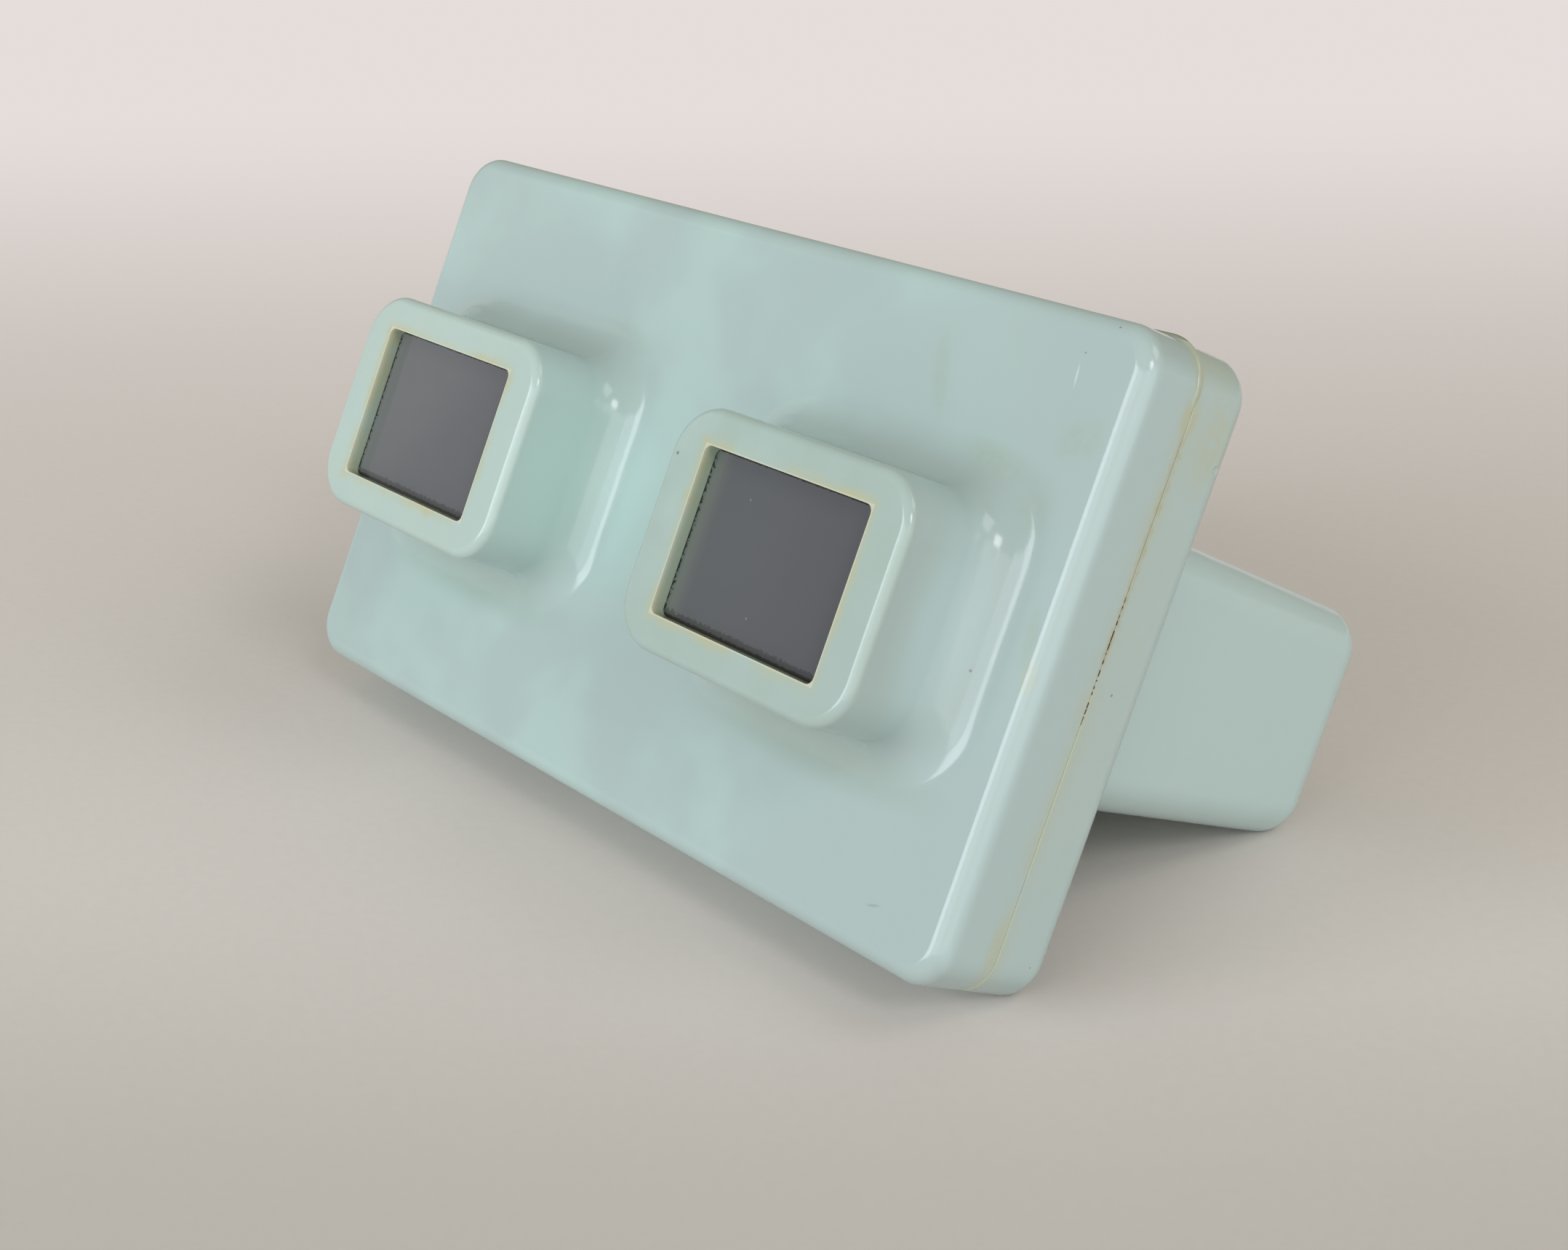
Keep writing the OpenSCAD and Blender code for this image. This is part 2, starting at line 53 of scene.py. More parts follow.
SHELL_WALL = 2 * MM
CORNER_R = 5 * MM
FRONT_EDGE_R = 2.2 * MM
SEAM_BREAK = 0.18 * MM
EYE_X = 32 * MM
RIM_W = 37.6 * MM
RIM_H = 27.4 * MM
RIM_R = 6 * MM
RIM_EDGE_R = 1.2 * MM
RIM_RISE = 14 * MM
HOOD_ROOT = 1 * MM
COVE_R = 5 * MM
WINDOW_W = 26.5 * MM
WINDOW_H = 19 * MM
WINDOW_R = 0.9 * MM
WINDOW_LIP = 1.7 * MM
# A reach clear of the piece that is cut, the slack of tests of place, and the gap at which points are welded
SPACE = 20 * MM
HAIR = 0.01 * MM
OUTLINE_HAIR = 5 * HAIR
WELD = HAIR / 10

mounts = {mount["name"]: mount for mount in frame["record"]["mounts"]}
slot_axis = mounts["slide_slot"]["axis"]
LEAN = math.atan2(slot_axis[1], slot_axis[2])
bench_turn = Matrix.Rotation(math.pi / 2 - LEAN, 4, "X")
# The middle of the underside is the same point on the bench and in the frame
UNDERSIDE_Z = -5.2 * MM
underside_on_bench = Vector((0, -BODY_H / 2, UNDERSIDE_Z))
bench_place = Vector(mounts["underside"]["pos_m"]) - bench_turn @ underside_on_bench
STAND_UP = Matrix.Translation(bench_place) @ bench_turn


def select_only(piece):
    bpy.ops.object.select_all(action="DESELECT")
    bpy.context.view_layer.objects.active = piece
    piece.select_set(True)


def add_block(name, low, high):
    """A block between two corners on the bench, all other objects deselected."""
    low = Vector(low)
    high = Vector(high)
    bpy.ops.object.select_all(action="DESELECT")
    bpy.ops.mesh.primitive_cube_add(size=1, location=(low + high) / 2)
    block = bpy.context.object
    block.name = name
    block.scale = high - low
    bpy.ops.object.transform_apply(location=True, rotation=False, scale=True)
    return block


def pick(piece, kind, wanted):
    """Selects, in edit mode, the edges or faces that pass a test."""
    select_only(piece)
    bpy.ops.object.mode_set(mode="EDIT")
    bpy.ops.mesh.select_mode(type=kind)
    bpy.ops.mesh.select_all(action="DESELECT")
    mesh = bmesh.from_edit_mesh(piece.data)
    for part in mesh.edges if kind == "EDGE" else mesh.faces:
        part.select_set(wanted(part))
    bmesh.update_edit_mesh(piece.data)


def round_edges(piece, radius, steps, wanted):
    """Bevels the chosen edges to a radius."""
    pick(piece, "EDGE", wanted)
    bpy.ops.mesh.bevel(offset=radius, segments=steps, profile=0.5, affect="EDGES", clamp_overlap=False)
    bpy.ops.mesh.select_all(action="SELECT")
    bpy.ops.mesh.remove_doubles(threshold=WELD)
    bpy.ops.object.mode_set(mode="OBJECT")


def slice_along(piece, plane_co, plane_no, **settings):
    """Cuts a piece's faces along a plane."""
    pick(piece, "FACE", lambda face: True)
    bpy.ops.mesh.bisect(plane_co=plane_co, plane_no=plane_no, **settings)
    bpy.ops.object.mode_set(mode="OBJECT")


def apply_modifier(piece, kind, **settings):
    select_only(piece)
    modifier = piece.modifiers.new(kind.title(), kind)
    for name, value in settings.items():
        setattr(modifier, name, value)
    bpy.ops.object.modifier_apply(modifier=modifier.name)


def combine(piece, tool, operation):
    """Joins a tool to a piece, or cuts it out, and removes the tool."""
    apply_modifier(piece, "BOOLEAN", object=tool, operation=operation, solver="EXACT")
    bpy.data.objects.remove(tool)


def runs_upright(edge):
    run = edge.verts[1].co - edge.verts[0].co
    return abs(run.z) > 0.9 * run.length


def lies_at(part, z):
    return all(abs(vert.co.z - z) < HAIR for vert in part.verts)


def outline_gap(point, centre_x, width, height, radius):
    """How far a point lies outside a rectangle with round corners, seen from the front."""
    over_x = abs(point.x - centre_x) - (width / 2 - radius)
    over_y = abs(point.y) - (height / 2 - radius)
    if over_x > 0 and over_y > 0:
        return math.hypot(over_x, over_y) - radius
    return max(over_x, over_y) - radius


def on_outline(edge, z, centre_x, width, height, radius):
    """Whether an edge lies at a height, on the outline of a rectangle with round corners."""
    gaps = [abs(outline_gap(vert.co, centre_x, width, height, radius)) for vert in edge.verts]
    return lies_at(edge, z) and max(gaps) < OUTLINE_HAIR


def on_body_edge(edge, z):
    return on_outline(edge, z, 0, BODY_W, BODY_H, CORNER_R)


def on_hood_edge(edge, z, eye_x):
    return on_outline(edge, z, eye_x, RIM_W, RIM_H, RIM_R)


def round_block(name, centre_x, width, height, radius, z_low, z_high, steps=16):
    """A block with four round upright edges, centred on the lens axes' height."""
    low = (centre_x - width / 2, -height / 2, z_low)
    high = (centre_x + width / 2, height / 2, z_high)
    block = add_block(name, low, high)
    round_edges(block, radius, steps, runs_upright)
    return block


front = round_block("front_moulding", 0, BODY_W, BODY_H, CORNER_R, -FRONT_DEPTH, 0)
# Lines through the eyes' axes give the eyepieces' outlines points to join the plate at
for plane_co, plane_no in (((-EYE_X, 0, 0), (1, 0, 0)), ((EYE_X, 0, 0), (1, 0, 0)), ((0, 0, 0), (0, 1, 0))):
    slice_along(front, plane_co, plane_no)
for eye_x in (-EYE_X, EYE_X):
    hood = round_block("hood", eye_x, RIM_W, RIM_H, RIM_R, -HOOD_ROOT, RIM_RISE)
    combine(front, hood, "UNION")
pick(front, "FACE", lambda face: lies_at(face, -FRONT_DEPTH))
bpy.ops.mesh.delete(type="FACE")
bpy.ops.object.mode_set(mode="OBJECT")
apply_modifier(front, "SOLIDIFY", thickness=SHELL_WALL, offset=-1, use_even_offset=True)
round_edges(front, FRONT_EDGE_R, steps=10, wanted=lambda edge: on_body_edge(edge, 0))
for eye_x in (-EYE_X, EYE_X):
    round_edges(front, COVE_R, steps=16, wanted=lambda edge: on_hood_edge(edge, 0, eye_x))
    round_edges(front, RIM_EDGE_R, steps=8, wanted=lambda edge: on_hood_edge(edge, RIM_RISE, eye_x))
round_edges(front, SEAM_BREAK, steps=2, wanted=lambda edge: on_body_edge(edge, -FRONT_DEPTH))
for eye_x in (-EYE_X, EYE_X):
    window = round_block("window", eye_x, WINDOW_W, WINDOW_H, WINDOW_R,
                         RIM_RISE - SPACE, RIM_RISE + SPACE, steps=4)
    combine(front, window, "DIFFERENCE")

# A bead of cement was squeezed out of the seam round one corner, and thins out along both edges
BEAD_R = 0.5 * MM
BEAD_SINK = 0.3 * MM
BEAD_TOP_RUN = 10 * MM
BEAD_TOP_END_R = BEAD_R * 0.6
BEAD_SIDE_RUN = 4 * MM
BEAD_SIDE_END_R = BEAD_R / 5
corner = Vector((BODY_W / 2 - CORNER_R - BEAD_SINK, BODY_H / 2 - CORNER_R, -FRONT_DEPTH + BEAD_R / 2))
bpy.ops.mesh.primitive_torus_add(major_segments=96, minor_segments=16, major_radius=CORNER_R,
                                 minor_radius=BEAD_R, location=corner)
bend = bpy.context.object
bpy.ops.object.transform_apply(location=True)
for plane_no in ((1, 0, 0), (0, 1, 0)):
    slice_along(bend, corner, plane_no, clear_inner=True)
bead_parts = [bend]
for run, end_r, turn, offset in (
        (BEAD_TOP_RUN, BEAD_TOP_END_R, (0, -math.pi / 2, 0), (-BEAD_TOP_RUN / 2, CORNER_R, 0)),
        (BEAD_SIDE_RUN, BEAD_SIDE_END_R, (math.pi / 2, 0, 0), (CORNER_R, -BEAD_SIDE_RUN / 2, 0))):
    bpy.ops.mesh.primitive_cone_add(vertices=16, radius1=BEAD_R, radius2=end_r, depth=run, rotation=turn,
                                    location=corner + Vector(offset))
    bead_parts.append(bpy.context.object)
select_only(front)
for bead_part in bead_parts:
    bead_part.select_set(True)
bpy.ops.object.join()


def new_material(name, colour, **values):
    """A plain shader with one colour, for a finish to build on."""
    material = bpy.data.materials.new(name)
    material.use_nodes = True
    shader = material.node_tree.nodes["Principled BSDF"]
    shader.inputs["Base Color"].default_value = (*colour, 1)
    for socket, value in values.items():
        shader.inputs[socket.replace("_", " ")].default_value = value
    return material, material.node_tree, shader


def add_node(tree, kind, feeds=None, **settings):
    """Adds a node with its settings, its inputs filled from other nodes or with values."""
    node = tree.nodes.new("ShaderNode" + kind)
    for name, value in settings.items():
        setattr(node, name, value)
    for place, feed in (feeds or {}).items():
        if isinstance(feed, bpy.types.NodeSocket):
            tree.links.new(feed, node.inputs[place])
        else:
            node.inputs[place].default_value = feed
    return node


def calc(tree, operation, first, second=0.0):
    """One step of arithmetic."""
    return add_node(tree, "Math", {0: first, 1: second}, operation=operation).outputs[0]


def times(tree, first, second):
    return calc(tree, "MULTIPLY", first, second)


def apart(tree, value, middle):
    """How far a value lies from a middle, to either side."""
    return calc(tree, "ABSOLUTE", calc(tree, "SUBTRACT", value, middle))


def past_middle(tree, value, middle):
    """How far a value lies past the nearer of two middles, set equally far left and right."""
    return calc(tree, "SUBTRACT", value, times(tree, calc(tree, "SIGN", value), middle))


def fade(tree, value, start, end):
    """Rises smoothly from 0 where a value is at start to 1 where it is at end."""
    ramp = add_node(tree, "MapRange", {"Value": value, "From Min": start, "From Max": end},
                    interpolation_type="SMOOTHSTEP")
    return ramp.outputs["Result"]


def spread(tree, value, low, high, start=0.0, end=1.0):
    """Runs evenly from low where a value is at start to high where it is at end."""
    feeds = {"Value": value, "From Min": start, "From Max": end, "To Min": low, "To Max": high}
    return add_node(tree, "MapRange", feeds).outputs["Result"]


def tint(tree, amount, under, over):
    """Lays one colour over another."""
    colours = {place: colour if isinstance(colour, bpy.types.NodeSocket) else (*colour, 1)
               for place, colour in ((6, under), (7, over))}
    return add_node(tree, "Mix", {0: amount, **colours}, data_type="RGBA").outputs[2]


def stain(tree, under, amount, depth, over):
    """Lays one colour over another, thinned to a depth."""
    return tint(tree, times(tree, amount, depth), under, over)


def bench_millimetres(tree):
    """A point's place on the bench, in millimetres."""
    place = add_node(tree, "TexCoord").outputs["Object"]
    return add_node(tree, "Mapping", {"Vector": place, "Location": STAND_UP.translation,
                                      "Rotation": STAND_UP.to_euler(), "Scale": (MM, MM, MM)},
                    vector_type="TEXTURE").outputs[0]


def grain(tree, place, scale, detail=2.0, stretch=(1, 1, 1)):
    """Even, soft noise about a middle of one half."""
    stretched = add_node(tree, "VectorMath", {0: place, 1: stretch}, operation="MULTIPLY").outputs[0]
    return add_node(tree, "TexNoise", {"Vector": stretched, "Scale": scale, "Detail": detail}).outputs["Fac"]


def blot(tree, place, centre, size, turn=0.0, soft=0.8):
    """A mark of a given half size round a place on the bench, 1 in its middle and 0 at its edge."""
    local = add_node(tree, "Mapping", {"Vector": place, "Location": centre, "Rotation": (0, 0, turn),
                                       "Scale": size}, vector_type="TEXTURE").outputs[0]
    reach = add_node(tree, "VectorMath", {0: local}, operation="LENGTH").outputs["Value"]
    return fade(tree, reach, 1, 1 - soft)


def speckle(tree, place, under, spacing, radius, share, depth, over):
    """Scatters specks over a colour: one in each cell of a spacing, kept in a share of the cells."""
    cells = add_node(tree, "TexVoronoi", {"Vector": place, "Scale": 1 / spacing})
    draw = add_node(tree, "SeparateColor", {0: cells.outputs["Color"]}).outputs[0]
    kept = calc(tree, "LESS_THAN", draw, share)
    speck = fade(tree, cells.outputs["Distance"], radius / spacing, radius / spacing / 2)
    return stain(tree, under, times(tree, speck, kept), depth, over)


def link_finish(tree, shader, colour, roughness=None, height=None, strength=1.0, distance=0.0):
    """Feeds a finish's colour, roughness and uneven surface to its shader."""
    tree.links.new(colour, shader.inputs["Base Color"])
    if roughness is not None:
        tree.links.new(roughness, shader.inputs["Roughness"])
    if height is not None:
        bump = add_node(tree, "Bump", {"Height": height, "Strength": strength, "Distance": distance})
        tree.links.new(bump.outputs[0], shader.inputs["Normal"])


# The plastic is a mint green that has greyed a little at one end and yellowed where it was handled,
# where the windows' edges hold dirt, and along the cement in the seam.
# Places, sizes and the starts and ends of fades in the finishes are in bench millimetres.
MINT = (0.398, 0.504, 0.491)
MINT_DEEP = (0.455, 0.628, 0.594)
MINT_GREYED = (0.392, 0.490, 0.477)
# Painted light: paler mint for the lit near side wall and the light box
MINT_SIDE_PAINTED_LIGHT = (0.432, 0.548, 0.545)
MINT_BOX_PAINTED_LIGHT = (0.470, 0.602, 0.592)
# Painted shade for the lower coves under the near and far eyepieces
MINT_PAINTED_SHADE = (0.30, 0.37, 0.31)
MINT_PAINTED_SHADE_FAR = (0.31, 0.41, 0.36)
# Painted highlight in the cove beside the near eyepiece
MINT_COVE_PAINTED_HIGHLIGHT = (0.50, 0.65, 0.67)
SCRATCH = (0.68, 0.80, 0.78)
RIM_CREAM = (0.448, 0.562, 0.510)
RIM_CREAM_DARK = (0.362, 0.468, 0.418)
WORN_EDGE = (0.700, 0.700, 0.560)
OCHRE = (0.490, 0.470, 0.270)
OLIVE = (0.220, 0.310, 0.220)
STAIN = (0.330, 0.410, 0.290)
CEMENT = (0.520, 0.575, 0.440)
CEMENT_AGED = (0.40, 0.41, 0.27)
CEMENT_DARK = (0.22, 0.21, 0.11)
SOAKED = (0.430, 0.415, 0.270)
DIRT = (0.120, 0.085, 0.050)
EYE_MM = EYE_X / MM
WINDOW_HALF_W = WINDOW_W / MM / 2
WINDOW_HALF_H = WINDOW_H / MM / 2
RIM_TOP = RIM_RISE / MM
BODY_TOP = BODY_H / MM / 2
BODY_END = BODY_W / MM / 2
SEAM_MM = -FRONT_DEPTH / MM

mint, mint_tree, mint_shader = new_material("mint plastic", MINT, Roughness=0.16)
spot = bench_millimetres(mint_tree)
spot_x, spot_y, spot_z = add_node(mint_tree, "SeparateXYZ", {0: spot}).outputs
cloud = grain(mint_tree, spot, scale=0.035, detail=3)
mottle = grain(mint_tree, spot, scale=0.16, detail=4)
wisp = grain(mint_tree, spot, scale=0.9, detail=4)

# Deeper in clouds and between the eyepieces, greyer at the near end, and painted paler on the near side
# wall and the light box, a painted light for how brightly they are lit
between_eyes = blot(mint_tree, spot, (-9, -1, 6), (24, 22, 22), soft=1.0)
clouded = times(mint_tree, fade(mint_tree, cloud, 0.56, 0.40), 0.45)
colour = tint(mint_tree, calc(mint_tree, "MAXIMUM", between_eyes, clouded), MINT, MINT_DEEP)
greyed = times(mint_tree, fade(mint_tree, spot_x, 15, 56), fade(mint_tree, spot_z, -20, -16))
colour = tint(mint_tree, greyed, colour, MINT_GREYED)
colour = tint(mint_tree, fade(mint_tree, spot_x, BODY_END - 1.0, BODY_END - 0.1), colour, MINT_SIDE_PAINTED_LIGHT)
colour = tint(mint_tree, fade(mint_tree, spot_z, -18, -24), colour, MINT_BOX_PAINTED_LIGHT)

# The rims are handled to a cream, with ochre dirt round the windows, a worn line at their edge and
# an olive film on the walls of the windows
off_eye = apart(mint_tree, calc(mint_tree, "ABSOLUTE", spot_x), EYE_MM)
over_side = calc(mint_tree, "SUBTRACT", off_eye, WINDOW_HALF_W)
over_top = calc(mint_tree, "SUBTRACT", calc(mint_tree, "ABSOLUTE", spot_y), WINDOW_HALF_H)
from_window = calc(mint_tree, "MAXIMUM", over_side, over_top)
on_rim = fade(mint_tree, spot_z, RIM_TOP - 2, RIM_TOP - 0.1)
handled = times(mint_tree, on_rim, spread(mint_tree, mottle, low=0.35, high=0.85, start=0.3, end=0.65))
# The near eyepiece's rim is a darker cream
cream = tint(mint_tree, fade(mint_tree, spot_x, -6, 8), RIM_CREAM, RIM_CREAM_DARK)
colour = tint(mint_tree, handled, colour, cream)
ragged = calc(mint_tree, "ADD", from_window, times(mint_tree, wisp, 1.6))
edge_dirt = times(mint_tree, fade(mint_tree, ragged, 2.3, 0.6),
                  fade(mint_tree, spot_z, RIM_TOP - 5, RIM_TOP - 0.4))
edge_dirt = times(mint_tree, edge_dirt, fade(mint_tree, mottle, 0.25, 0.75))
colour = stain(mint_tree, colour, edge_dirt, depth=0.95, over=OCHRE)
worn = times(mint_tree, fade(mint_tree, from_window, 0.2, 0.12),
             fade(mint_tree, spot_z, RIM_TOP - 0.4, RIM_TOP - 0.2))
colour = stain(mint_tree, colour, worn, depth=0.4, over=WORN_EDGE)
in_reveal = times(mint_tree, fade(mint_tree, spot_z, RIM_TOP - 0.25, RIM_TOP - 1.1),
                  fade(mint_tree, from_window, 0.3, 0.1))
in_reveal = times(mint_tree, in_reveal, fade(mint_tree, spot_z, RIM_TOP - 6, RIM_TOP - 4))
colour = stain(mint_tree, colour, in_reveal, depth=0.45, over=OLIVE)

# Stains, each with its place, half size, turn in radians, depth and colour
BLOTCHES = (
    ((55.5, 22.2, 0), (4.4, 3.0, 3), 0.5, 0.30, STAIN),
    ((58.0, 2.2, 0), (1.6, 4.6, 3), 0.1, 0.30, STAIN),
    ((59.2, -1.6, 0), (1.3, 2.6, 3), 0.0, 0.30, OCHRE),
    ((34.5, 24.5, 0), (1.6, 6.5, 3), 0.35, 0.26, STAIN),
    ((46.0, 17.6, 0), (7.0, 2.8, 4), -0.2, 0.30, STAIN),
    ((53.0, 14.5, 0), (3.2, 4.4, 3), 0.3, 0.24, STAIN),
    ((-18.0, 18.0, 0), (7.0, 2.6, 4), -0.1, 0.16, STAIN),
    ((61.0, 27.7, -8.2), (3, 3.2, 1.9), 0.0, 0.70, OCHRE),
    ((61.0, 26.0, -13.0), (3, 7.5, 4.4), 0.0, 0.42, OCHRE),
    ((61.0, 0.0, -12.0), (3, 40, 5.5), 0.0, 0.12, OCHRE),
    ((61.0, -29.0, -7.4), (3, 4.5, 1.6), 0.0, 0.48, OCHRE),
    ((59.0, 33.0, -12.0), (4, 4.0, 5.0), 0.0, 0.35, OCHRE),
)
for centre, size, turn, depth, shade in BLOTCHES:
    patch = times(mint_tree, blot(mint_tree, spot, centre, size, turn), fade(mint_tree, wisp, 0.1, 0.7))
    colour = stain(mint_tree, colour, patch, depth, shade)

# The seam: a stained band, a soaked length, a pale thread of cement that is weaker there, and brown dirt
# in a few short lengths of it
off_seam = apart(mint_tree, spot_z, SEAM_MM)
band = times(mint_tree, fade(mint_tree, off_seam, 2.6, 0.1), fade(mint_tree, mottle, 0.2, 0.8))
colour = stain(mint_tree, colour, band, depth=0.38, over=OCHRE)
soaked_length = blot(mint_tree, spot, (BODY_END, 13.5, SEAM_MM), (4, 15, 6), soft=0.3)
ragged = calc(mint_tree, "ADD", off_seam, times(mint_tree, wisp, 1.4))
soaked = times(mint_tree, fade(mint_tree, ragged, 1.5, 0.5), soaked_length)
colour = stain(mint_tree, colour, soaked, depth=0.8, over=SOAKED)
thread = times(mint_tree, fade(mint_tree, off_seam, 0.24, 0.10), fade(mint_tree, mottle, 0.3, 0.5))
unsoaked = calc(mint_tree, "SUBTRACT", 1.0, times(mint_tree, soaked_length, 0.8))
colour = tint(mint_tree, times(mint_tree, thread, unsoaked), colour, CEMENT)
seam_run = grain(mint_tree, spot, scale=1.7, detail=3, stretch=(0, 1, 0.2))
dashes = times(mint_tree, fade(mint_tree, seam_run, 0.42, 0.52), fade(mint_tree, off_seam, 0.15, 0.08))
dirty_length = blot(mint_tree, spot, (BODY_END, 2.2, SEAM_MM), (4, 8.5, 4), soft=0.4)
colour = tint(mint_tree, times(mint_tree, dashes, dirty_length), colour, DIRT)

# The bead of cement is aged round the corner and dark on top
bead_bend = blot(mint_tree, spot, (BODY_END, 33, SEAM_MM + 0.2), (4, 7, 0.8), turn=0.5, soft=0.5)
colour = stain(mint_tree, colour, bead_bend, depth=0.6, over=CEMENT_AGED)
bead_top = times(mint_tree, fade(mint_tree, spot_y, BODY_TOP + 0.02, BODY_TOP + 0.12),
                 fade(mint_tree, off_seam, 0.9, 0.5))
bead_top = times(mint_tree, bead_top, fade(mint_tree, spot_x, 46, 48))
colour = stain(mint_tree, colour, bead_top, depth=0.8, over=CEMENT_DARK)

# Specks, then single marks and painted light in the order of the stains' table: a painted highlight in
# the cove beside the near eyepiece, painted shade in the lower coves under both eyepieces, a nick, pits
# and scratches
colour = speckle(mint_tree, spot, colour, spacing=7.5, radius=0.22, share=0.30, depth=0.55, over=DIRT)
MARKS_AND_PAINTED_LIGHT = (
    ((50.5, 0.0, 5.0), (4.5, 16.0, 7.0), 0.0, 0.55, MINT_COVE_PAINTED_HIGHLIGHT),
    ((33.0, -17.0, 1.0), (25, 4.6, 6), 0.0, 0.60, MINT_PAINTED_SHADE),
    ((-31.0, -17.0, 1.0), (25, 4.6, 6), 0.0, 0.60, MINT_PAINTED_SHADE_FAR),
    ((14.7, 7.5, 14), (0.30, 0.30, 1), 0.0, 0.75, DIRT),
    ((55.35, 33.96, 0), (0.22, 0.18, 1.5), 0.0, 0.7, DIRT),
    ((52.47, 30.63, 0), (0.16, 0.16, 1), 0.0, 0.6, DIRT),
    ((52.35, 28.2, 0), (0.22, 1.7, 1), 0.12, 0.45, SCRATCH),
    ((50.2, -29.3, 0), (1.3, 0.25, 1), 0.3, 0.25, DIRT),
)
for centre, size, turn, depth, shade in MARKS_AND_PAINTED_LIGHT:
    colour = stain(mint_tree, colour, blot(mint_tree, spot, centre, size, turn), depth, shade)

# Moulded gloss, dulled a little by handling, over a surface that is not quite flat
dulling = grain(mint_tree, spot, scale=0.5, detail=5)
gloss = spread(mint_tree, dulling, low=0.10, high=0.17, start=0.3, end=0.7)
orange_peel = times(mint_tree, grain(mint_tree, spot, scale=2.2, detail=3), 0.02)
ripple = calc(mint_tree, "ADD", grain(mint_tree, spot, scale=0.12, detail=1), orange_peel)
link_finish(mint_tree, mint_shader, colour, gloss, ripple, strength=0.25, distance=0.4 * MM)

SMOOTH_ANGLE = math.radians(35)


def finish_piece(piece, material, node):
    """Stands a finished piece up in the frame, smooths it, and rides it on the body in place of its solid."""
    piece.matrix_world = STAND_UP
    select_only(piece)
    bpy.ops.object.transform_apply(location=True, rotation=True, scale=True)
    bpy.ops.object.shade_smooth_by_angle(angle=SMOOTH_ANGLE)
    apply_modifier(piece, "WEIGHTED_NORMAL", weight=100, keep_sharp=True)
    piece.data.materials.clear()
    piece.data.materials.append(material)
    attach(piece, "viewer")
    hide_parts(node)


finish_piece(front, mint, "front_shell")

# Rear moulding
# The other half of the body, with the light box moulded on behind it: slotted on top for the slide
# and open at the back for the light. The two halves meet at the seam and are cemented there.
REAR_DEPTH = 8.9 * MM
REAR_EDGE_R = 2.6 * MM
REAR_Z = -FRONT_DEPTH - REAR_DEPTH
BOX_DEPTH = 45.8 * MM
BACK_Z = REAR_Z - BOX_DEPTH
BOX_W = 110 * MM
BOX_TOP = 16.4 * MM
BOX_BOTTOM = -15.4 * MM
BOX_MID_Y = (BOX_TOP + BOX_BOTTOM) / 2
BOX_DRAFT = 2.1 * MM
BOX_SIDE_DRAFT = 0.8 * MM
BOX_EDGE_R = 5 * MM
# A little tighter than the long edges, so that the round corners close without a pinch
BOX_END_R = 4.85 * MM
BOX_WALL = 1.8 * MM
BACK_WALL = 2.4 * MM
LIGHT_W = 90 * MM
LIGHT_H = 15.5 * MM
LIGHT_R = 3 * MM
SLIDE_W = 92 * MM
SLIDE_T = 2.6 * MM
SLIDE_MID_Z = -52.55 * MM
SLOT_GAP = 0.35 * MM
NOTCH_R = 8 * MM
CHIP_R = 0.9 * MM
CHIP_PLACE = (BODY_W / 2 + 0.65 * MM, 23.8 * MM, -15.1 * MM)


def add_tapered_box(name, wall, z_root, z_end):
    """The light box's form, or its hollow, drawn in towards the back as the moulding is."""
    shares = [(REAR_Z - z) / BOX_DEPTH for z in (z_root, z_end)]
    half_w = [BOX_W / 2 - BOX_SIDE_DRAFT * share - wall for share in shares]
    half_h = [(BOX_TOP - BOX_BOTTOM) / 2 - BOX_DRAFT * share - wall for share in shares]
    low = (-half_w[0], BOX_MID_Y - half_h[0], z_end)
    high = (half_w[0], BOX_MID_Y + half_h[0], z_root)
    box = add_block(name, low, high)
    pick(box, "FACE", lambda face: lies_at(face, z_end))
    bpy.ops.transform.resize(value=(half_w[1] / half_w[0], half_h[1] / half_h[0], 1),
                             center_override=(0, BOX_MID_Y, z_end))
    bpy.ops.object.mode_set(mode="OBJECT")
    round_edges(box, BOX_EDGE_R - wall, steps=16, wanted=runs_upright)
    return box


rear = round_block("rear_moulding", 0, BODY_W, BODY_H, CORNER_R, REAR_Z, -FRONT_DEPTH)
round_edges(rear, REAR_EDGE_R, steps=10, wanted=lambda edge: lies_at(edge, REAR_Z))
light_box = add_tapered_box("light_box", 0, REAR_Z + SHELL_WALL / 2, BACK_Z)
round_edges(light_box, BOX_END_R, steps=12, wanted=lambda edge: lies_at(edge, BACK_Z))
combine(rear, light_box, "UNION")
body_hollow = round_block("body_hollow", 0, BODY_W - 2 * SHELL_WALL, BODY_H - 2 * SHELL_WALL,
                          CORNER_R - SHELL_WALL, REAR_Z + SHELL_WALL, -FRONT_DEPTH + SPACE)
combine(rear, body_hollow, "DIFFERENCE")
box_hollow = add_tapered_box("box_hollow", BOX_WALL, REAR_Z + 2 * SHELL_WALL, BACK_Z + BACK_WALL)
combine(rear, box_hollow, "DIFFERENCE")
light_opening = round_block("light_opening", 0, LIGHT_W, LIGHT_H, LIGHT_R,
                            BACK_Z - SPACE, BACK_Z + 2 * BACK_WALL, steps=8)
light_opening.location.y = BOX_MID_Y
combine(rear, light_opening, "DIFFERENCE")
slot_half = Vector((SLIDE_W / 2 + SLOT_GAP, 0, SLIDE_T / 2 + SLOT_GAP))
slot = add_block("slot", (-slot_half.x, BOX_MID_Y + BOX_TOP / 2, SLIDE_MID_Z - slot_half.z),
                 (slot_half.x, BOX_TOP + SPACE, SLIDE_MID_Z + slot_half.z))
combine(rear, slot, "DIFFERENCE")
